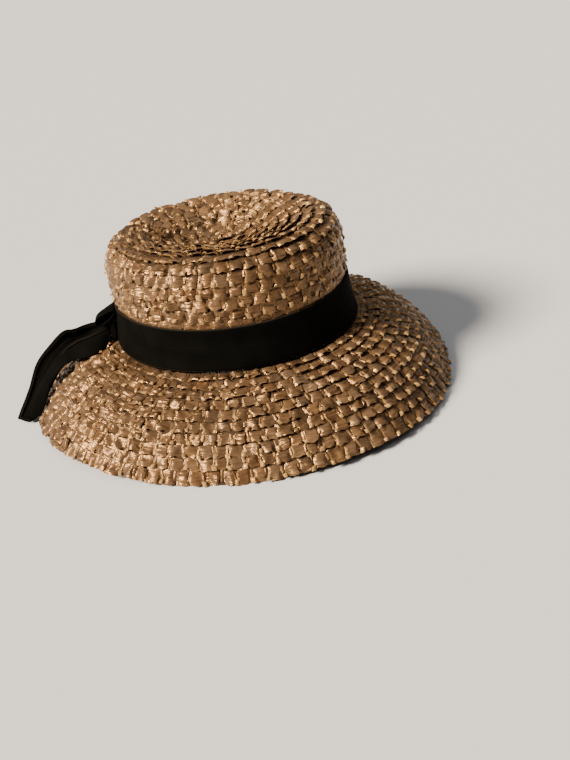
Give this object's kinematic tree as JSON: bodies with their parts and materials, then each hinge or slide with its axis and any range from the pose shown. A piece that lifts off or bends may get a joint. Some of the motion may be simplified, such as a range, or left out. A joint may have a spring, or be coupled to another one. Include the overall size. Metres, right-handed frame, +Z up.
{
  "type": "straw hat with velvet ribbon",
  "caption": "Brown sewn-straw hat with an oval dished crown, a turned-down wavy brim and a black velvet ribbon tied at the back.",
  "frame": {"origin": "under the middle of the whole hat, on the surface that its rim rests on", "axes": "+Z up towards the crown, the hat's front towards -Y and its back with the bow towards +Y, the wearer's left towards +X"},
  "size_m": [0.3158, 0.3716, 0.1484],
  "materials": {
    "straw": "flat brown straw tape, slightly glossy, sewn in overlapping rows",
    "velvet": "black velvet ribbon, short dense pile"
  },
  "bodies": {
    "root": {"crown": "straw", "brim": "straw", "hatband": "velvet", "bow_knot": "velvet", "bow_loop": "velvet", "tail_far": "velvet", "tail_near": "velvet"}
  },
  "joints": []
}
